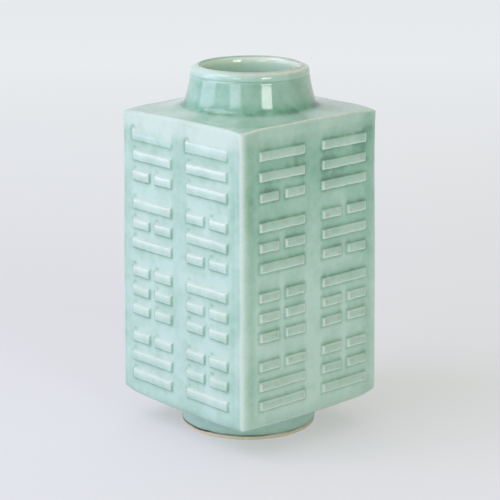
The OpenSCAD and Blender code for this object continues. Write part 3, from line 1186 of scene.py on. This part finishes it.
# Noise with features of about size millimetres, whose span of values becomes the range from low to high
Mottle = namedtuple("Mottle", "size detail span low high")
USUAL_SPAN = (0.3, 0.7)
CLOUD = Mottle(24, 3.0, USUAL_SPAN, -0.2, 0.26)
FINE_CLOUD = Mottle(5.5, 3.0, USUAL_SPAN, -0.1, 0.1)
RAGGED_THIN = Mottle(2.2, 3.0, USUAL_SPAN, 0.75, 1.15)
PATCHY_STAIN = Mottle(5, 2.0, (0.35, 0.65), 0.4, 1.6)
INNER_CLOUD = Mottle(22, 3.0, USUAL_SPAN, 0.0, 1.0)
GLOSS = Mottle(14, 2.0, USUAL_SPAN, 0.05, 0.1)
RIPPLE_SIZE = 2.4
RIPPLE_H = 0.3
RIPPLE_STRENGTH = 0.06
# Iron specks sit in some of the cells of a cell pattern
SPECK_CELL = 9.0
SPECK_REACH = (0.035, 0.06)
SPECK_CHOSEN = (0.86, 0.9)
SPECK_SHARE = 0.5


def node(tree, kind, inputs=(), **settings):
    """Adds a shader node, with its inputs given as values or as the sockets that feed them."""
    made = tree.nodes.new(kind)
    for name, value in settings.items():
        setattr(made, name, value)
    for name, value in dict(inputs).items():
        if isinstance(value, bpy.types.NodeSocket):
            tree.links.new(value, made.inputs[name])
        else:
            made.inputs[name].default_value = value
    return made


def math_node(tree, operation, a, b):
    return node(tree, "ShaderNodeMath", {0: a, 1: b}, operation=operation, use_clamp=False).outputs[0]


def mix_colour(tree, share, a, b):
    made = node(tree, "ShaderNodeMix", {0: share, 6: a, 7: b}, data_type="RGBA")
    made.clamp_factor = True
    return made.outputs[2]


def spread(tree, value, low, high, to_low=0.0, to_high=1.0):
    """Maps a value from one range to another, held at its ends."""
    inputs = {"Value": value, "From Min": low, "From Max": high, "To Min": to_low, "To Max": to_high}
    return node(tree, "ShaderNodeMapRange", inputs).outputs["Result"]


def noise(tree, place, size, detail):
    """Noise whose features are about size millimetres."""
    inputs = {"Vector": place, "Scale": 1 / (size * MM), "Detail": detail}
    return node(tree, "ShaderNodeTexNoise", inputs).outputs["Fac"]


def mottled(tree, place, mottle):
    values = noise(tree, place, mottle.size, mottle.detail)
    return spread(tree, values, *mottle.span, mottle.low, mottle.high)


def vector_math(tree, operation, *inputs):
    return node(tree, "ShaderNodeVectorMath", enumerate(inputs), operation=operation).outputs


def along(tree, place, way):
    """How far a place lies along a direction."""
    return vector_math(tree, "DOT_PRODUCT", place, way)["Value"]


def height_of(tree, place):
    return node(tree, "ShaderNodeSeparateXYZ", {0: place}).outputs["Z"]


def empty_tree(owner):
    """The node tree of a material or a world, with no nodes in it."""
    owner.use_nodes = True
    owner.node_tree.nodes.clear()
    return owner.node_tree


def new_material(name):
    """A glaze to be filled in: the material, its tree, its shader and the place on the piece."""
    material = bpy.data.materials.new(name)
    tree = empty_tree(material)
    shader = node(tree, "ShaderNodeBsdfPrincipled", {"IOR": GLAZE_IOR})
    node(tree, "ShaderNodeOutputMaterial", {"Surface": shader.outputs[0]})
    return material, tree, shader, node(tree, "ShaderNodeTexCoord").outputs["Object"]


def field(tree, name):
    return node(tree, "ShaderNodeAttribute", attribute_name=name).outputs["Fac"]


def throat_share(tree, place):
    """1 in the throat and the mouth below the lip's edge. No other glazed skin lies within that radius."""
    centred = vector_math(tree, "SUBTRACT", place, NECK_OFF * MM)[0]
    level = vector_math(tree, "MULTIPLY", centred, (1, 1, 0))[0]
    reach = vector_math(tree, "LENGTH", level)["Value"]
    within = spread(tree, reach, *((MOUTH_R + out) * MM for out in THROAT_OUT), 1.0, 0.0)
    below = spread(tree, height_of(tree, place), *((RIM - down) * MM for down in THROAT_DOWN), 1.0, 0.0)
    return math_node(tree, "MULTIPLY", within, below)


def throat_painted_light(tree, place):
    """Painted light inside the neck: paler toward the mouth and greener lower down."""
    share = spread(tree, height_of(tree, place), (RIM - THROAT_H) * MM, (RIM - THROAT_PALE_DOWN) * MM)
    return mix_colour(tree, share, THROAT_PAINTED_LIGHT, MOUTH_PAINTED_LIGHT)


def speck_share(tree, place):
    cells = node(tree, "ShaderNodeTexVoronoi", {"Vector": place, "Scale": 1 / (SPECK_CELL * MM)}).outputs
    near = spread(tree, cells["Distance"], *SPECK_REACH, 1.0, 0.0)
    lot = node(tree, "ShaderNodeSeparateColor", {0: cells["Color"]}).outputs[0]
    chosen = spread(tree, lot, *SPECK_CHOSEN)
    return math_node(tree, "MULTIPLY", math_node(tree, "MULTIPLY", near, chosen), SPECK_SHARE)


def celadon_colour(tree, place):
    """Glaze colour by its depth, with cloudy and fine mottling and a few iron specks. The depths carry
    painted shade and painted highlights too, and the throat takes a painted lighter colour.
    """
    uneven = math_node(tree, "ADD", mottled(tree, place, CLOUD), mottled(tree, place, FINE_CLOUD))
    deep = math_node(tree, "ADD", field(tree, "pool"), uneven)
    colour = mix_colour(tree, deep, GLAZE, GLAZE_DEEP)
    colour = mix_colour(tree, spread(tree, deep, *DEEPEST), colour, GLAZE_DEEPEST)
    thin = math_node(tree, "MULTIPLY", field(tree, "thin"), mottled(tree, place, RAGGED_THIN))
    colour = mix_colour(tree, thin, colour, GLAZE_THIN)
    stain = math_node(tree, "MULTIPLY", field(tree, "stain"), mottled(tree, place, PATCHY_STAIN))
    colour = mix_colour(tree, stain, colour, GLAZE_STAIN)
    colour = mix_colour(tree, throat_share(tree, place), colour, throat_painted_light(tree, place))
    return mix_colour(tree, speck_share(tree, place), colour, GLAZE_SPECK)


def add_ripple(tree, place, shader):
    """Faint waviness of fired glaze."""
    ripple = noise(tree, place, RIPPLE_SIZE, 2.0)
    inputs = {"Strength": RIPPLE_STRENGTH, "Distance": RIPPLE_H * MM, "Height": ripple}
    tree.links.new(node(tree, "ShaderNodeBump", inputs).outputs[0], shader.inputs["Normal"])


def add_glaze_skin(tree, place, shader):
    """Faint waviness and slightly uneven gloss of fired glaze."""
    add_ripple(tree, place, shader)
    tree.links.new(mottled(tree, place, GLOSS), shader.inputs["Roughness"])


def make_celadon():
    material, tree, shader, place = new_material("celadon")
    tree.links.new(celadon_colour(tree, place), shader.inputs["Base Color"])
    add_glaze_skin(tree, place, shader)
    return material


BARE_Z = 3.5
BARE_SOFT = 0.1
BARE_WAVER = Mottle(16, 3.0, (0.25, 0.75), -0.45 * MM, 0.45 * MM)
BARE_ROUGHNESS = (0.08, 0.75)
CLAY_GRAIN = Mottle(0.7, 4.0, USUAL_SPAN, 0.0, 0.25)
# The burnt line reaches this far from the bare clay's edge, and is full up to a share of that
BURNT_LINE = 1.15
BURNT_FULL = 0.4
# It is darkest toward the front left
BURNT_WAY = (-0.94, -0.34, 0)
BURNT_REACH = 35.0
BURNT_SHARE = (0.45, 1.2)
BURNT_PATCHES = Mottle(26, 2.0, (0.35, 0.6), -0.3, 0.2)


def make_foot_glaze():
    """Celadon that stops in a burnt line above the bare clay of the tread."""
    material, tree, shader, place = new_material("celadon_foot")
    level = math_node(tree, "ADD", height_of(tree, place), mottled(tree, place, BARE_WAVER))
    bare = spread(tree, level, (BARE_Z - BARE_SOFT) * MM, (BARE_Z + BARE_SOFT) * MM, 1.0, 0.0)
    from_line = math_node(tree, "ABSOLUTE", math_node(tree, "SUBTRACT", level, BARE_Z * MM), 0.0)
    on_line = spread(tree, from_line, BURNT_FULL * BURNT_LINE * MM, BURNT_LINE * MM, 1.0, 0.0)
    toward = spread(tree, along(tree, place, BURNT_WAY), -BURNT_REACH * MM, BURNT_REACH * MM, *BURNT_SHARE)
    strong = math_node(tree, "ADD", toward, mottled(tree, place, BURNT_PATCHES))
    burnt = math_node(tree, "MULTIPLY", on_line, strong)
    clay = mix_colour(tree, mottled(tree, place, CLAY_GRAIN), CLAY, CLAY_BURNT)
    colour = mix_colour(tree, bare, celadon_colour(tree, place), clay)
    tree.links.new(mix_colour(tree, burnt, colour, CLAY_BURNT), shader.inputs["Base Color"])
    add_ripple(tree, place, shader)
    tree.links.new(spread(tree, bare, 0.0, 1.0, *BARE_ROUGHNESS), shader.inputs["Roughness"])
    return material


def make_inner_glaze():
    """Cloudier glaze inside the vase and under its base."""
    material, tree, shader, place = new_material("celadon_inside")
    colour = mix_colour(tree, mottled(tree, place, INNER_CLOUD), GLAZE_DEEP, GLAZE)
    tree.links.new(colour, shader.inputs["Base Color"])
    add_glaze_skin(tree, place, shader)
    return material


celadon = make_celadon()
for face, side in enumerate(FACES):
    make_piece(f"{side}_wall", wall_shell(face), celadon)
    for name in TRIGRAMS:
        make_piece(trigram_node(face, name), trigram_shell(face, name), celadon)
make_piece("shoulder_slab", shoulder_shell(), celadon)
make_piece("neck", neck_shell(), celadon)
make_piece("foot_ring", foot_shell(), make_foot_glaze())

inner_glaze = make_inner_glaze()
for name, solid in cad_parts.items():
    if name == "base_slab" or name.endswith("_coil"):
        solid.data.materials.clear()
        solid.data.materials.append(inner_glaze)

# Camera, fitted to the corners of the body in the photo

IMAGE_PX = 500
SENSOR_MM = 36.0
FOCAL_PX = 2066.45
VIEW_AZIMUTH = math.radians(48.048)
VIEW_ELEVATION = math.radians(15.164)
VIEW_ROLL = math.radians(-0.125)
VIEW_DISTANCE = 1.58077
AIM_RIGHT = 0.000728
AIM_HEIGHT = 0.1353


def make_camera():
    cos_a, sin_a = math.cos(VIEW_AZIMUTH), math.sin(VIEW_AZIMUTH)
    cos_e, sin_e = math.cos(VIEW_ELEVATION), math.sin(VIEW_ELEVATION)
    right = Vector((cos_a, sin_a, 0))
    back = Vector((sin_a * cos_e, -cos_a * cos_e, sin_e))
    up = back.cross(right)
    place = right * AIM_RIGHT + Vector((0, 0, AIM_HEIGHT)) + back * VIEW_DISTANCE
    data = bpy.data.cameras.new("camera")
    data.sensor_width = SENSOR_MM
    data.lens = FOCAL_PX / IMAGE_PX * SENSOR_MM
    camera = add_object("camera", data)
    axes = Matrix((right, up, back)).transposed().to_4x4()
    camera.matrix_world = Matrix.Translation(place) @ axes @ Matrix.Rotation(VIEW_ROLL, 4, "Z")
    bpy.context.scene.camera = camera


# Light: two windows on the left and two softboxes, which the neck mirrors, and a soft room

LIGHT_AIM = Vector((0, 0, 0.262))
Softbox = namedtuple("Softbox", "name azimuth elevation distance width height radiance colour")
SOFTBOXES = (
    Softbox("left_window", -83, 4.3, 2.0, 1.15, 0.84, 1.95, (1.1, 1.0, 1.41)),
    Softbox("high_window", -70, 42, 1.6, 1.25, 1.25, 2.35, (1.26, 1.0, 1.38)),
    Softbox("left_softbox", -27.5, 12, 2.0, 0.66, 0.6, 2.8, (1.0, 1.0, 1.21)),
    Softbox("right_softbox", 30.5, 12, 2.0, 0.66, 0.62, 8.2, (1.03, 1.0, 0.95)),
)


def make_softbox(box):
    azimuth, elevation = VIEW_AZIMUTH + math.radians(box.azimuth), math.radians(box.elevation)
    way = Vector((math.sin(azimuth), -math.cos(azimuth), 0)) * math.cos(elevation)
    way.z = math.sin(elevation)
    data = bpy.data.lights.new(box.name, "AREA")
    data.shape = "RECTANGLE"
    data.size, data.size_y = box.width, box.height
    data.energy = math.pi * box.width * box.height * box.radiance
    data.color = box.colour
    lamp = add_object(box.name, data)
    lamp.location = LIGHT_AIM + way * box.distance
    lamp.rotation_mode = "QUATERNION"
    lamp.rotation_quaternion = way.to_track_quat("Z", "Y")


# Light of the room, and the range of facings over which the left, the backdrop and the ceiling add theirs
ROOM_BASE = (0.11, 0.175, 0.125, 1.0)
ROOM_LEFT = (0.27, 0.42, 0.505, 1.0)
ROOM_LEFT_SPAN = (-1.0, 1.0)
ROOM_LEFT_TURN = -85
ROOM_LEFT_TILT = 0.5
ROOM_BACK = (0.58, 0.43, 0.5, 1.0)
ROOM_BACK_SPAN = (0.1, 0.8)
ROOM_TOP = (0.48, 0.32, 0.22, 1.0)
ROOM_TOP_SPAN = (0.4, 0.9)


def make_room():
    """Room light that grows toward the left, toward the backdrop and overhead."""
    world = bpy.data.worlds.new("room")
    bpy.context.scene.world = world
    tree = empty_tree(world)
    azimuth = VIEW_AZIMUTH + math.radians(ROOM_LEFT_TURN)
    left = Vector((math.sin(azimuth), -math.cos(azimuth), ROOM_LEFT_TILT)).normalized()
    back = Vector((-math.sin(VIEW_AZIMUTH), math.cos(VIEW_AZIMUTH), 0))
    place = node(tree, "ShaderNodeTexCoord").outputs["Generated"]
    colour = ROOM_BASE
    for way, span, light in (
        (left, ROOM_LEFT_SPAN, ROOM_LEFT),
        (back, ROOM_BACK_SPAN, ROOM_BACK),
        (Vector((0, 0, 1)), ROOM_TOP_SPAN, ROOM_TOP),
    ):
        inputs = {0: spread(tree, along(tree, place, way), *span), 6: colour, 7: light}
        colour = node(tree, "ShaderNodeMix", inputs, data_type="RGBA", blend_type="ADD").outputs[2]
    background = node(tree, "ShaderNodeBackground", {"Color": colour})
    node(tree, "ShaderNodeOutputWorld", {"Surface": background.outputs[0]})


FLOOR_R = 6.0
FLOOR_SIDES = 96
FLOOR_COLOUR = srgb(229, 235, 240)
# Share of the floor's painted glow, seen by the camera and in reflections, that shows beside the light that
# falls on it. It lifts the vase's shadow on the floor
FLOOR_GLOW_SHARE = 0.58
FLOOR_FAR = srgb(249, 249, 251)
FLOOR_LEFT = srgb(211, 211, 211)
FLOOR_RIGHT = srgb(216, 213, 210)
FLOOR_DEPTH = (0.3, 1.6)
FLOOR_SPAN = (-0.18, 0.18)


def floor_glow_colour(tree):
    """Colour of the floor's painted glow: paler far from the camera's side, with its right side a little
    warmer than its left.
    """
    place = node(tree, "ShaderNodeTexCoord").outputs["Object"]
    across = along(tree, place, (math.cos(VIEW_AZIMUTH), math.sin(VIEW_AZIMUTH), 0))
    depth = along(tree, place, (-math.sin(VIEW_AZIMUTH), math.cos(VIEW_AZIMUTH), 0))
    near = mix_colour(tree, spread(tree, across, *FLOOR_SPAN), FLOOR_LEFT, FLOOR_RIGHT)
    return mix_colour(tree, spread(tree, depth, *FLOOR_DEPTH), near, FLOOR_FAR)


def make_floor():
    angles = np.linspace(0, 2 * math.pi, FLOOR_SIDES, endpoint=False)
    points = np.column_stack((FLOOR_R * np.cos(angles), FLOOR_R * np.sin(angles), np.zeros(FLOOR_SIDES)))
    mesh = bpy.data.meshes.new("floor")
    mesh.from_pydata(points.tolist(), [], [list(range(FLOOR_SIDES))])
    material = bpy.data.materials.new("floor")
    tree = empty_tree(material)
    matt = node(tree, "ShaderNodeBsdfDiffuse", {"Color": FLOOR_COLOUR}).outputs[0]
    # A painted glow mixed into the floor for camera, glossy and transmission rays
    own = node(tree, "ShaderNodeEmission", {"Color": floor_glow_colour(tree)}).outputs[0]
    path = node(tree, "ShaderNodeLightPath").outputs
    mirrored = math_node(tree, "ADD", path["Is Glossy Ray"], path["Is Transmission Ray"])
    seen = math_node(tree, "ADD", path["Is Camera Ray"], mirrored)
    share = math_node(tree, "MULTIPLY", seen, FLOOR_GLOW_SHARE)
    mixed = node(tree, "ShaderNodeMixShader", {0: share, 1: matt, 2: own}).outputs[0]
    node(tree, "ShaderNodeOutputMaterial", {"Surface": mixed})
    mesh.materials.append(material)
    floor = add_object("floor", mesh)


make_camera()
for softbox in SOFTBOXES:
    make_softbox(softbox)
make_room()
make_floor()
bpy.context.scene.view_settings.view_transform = "Standard"
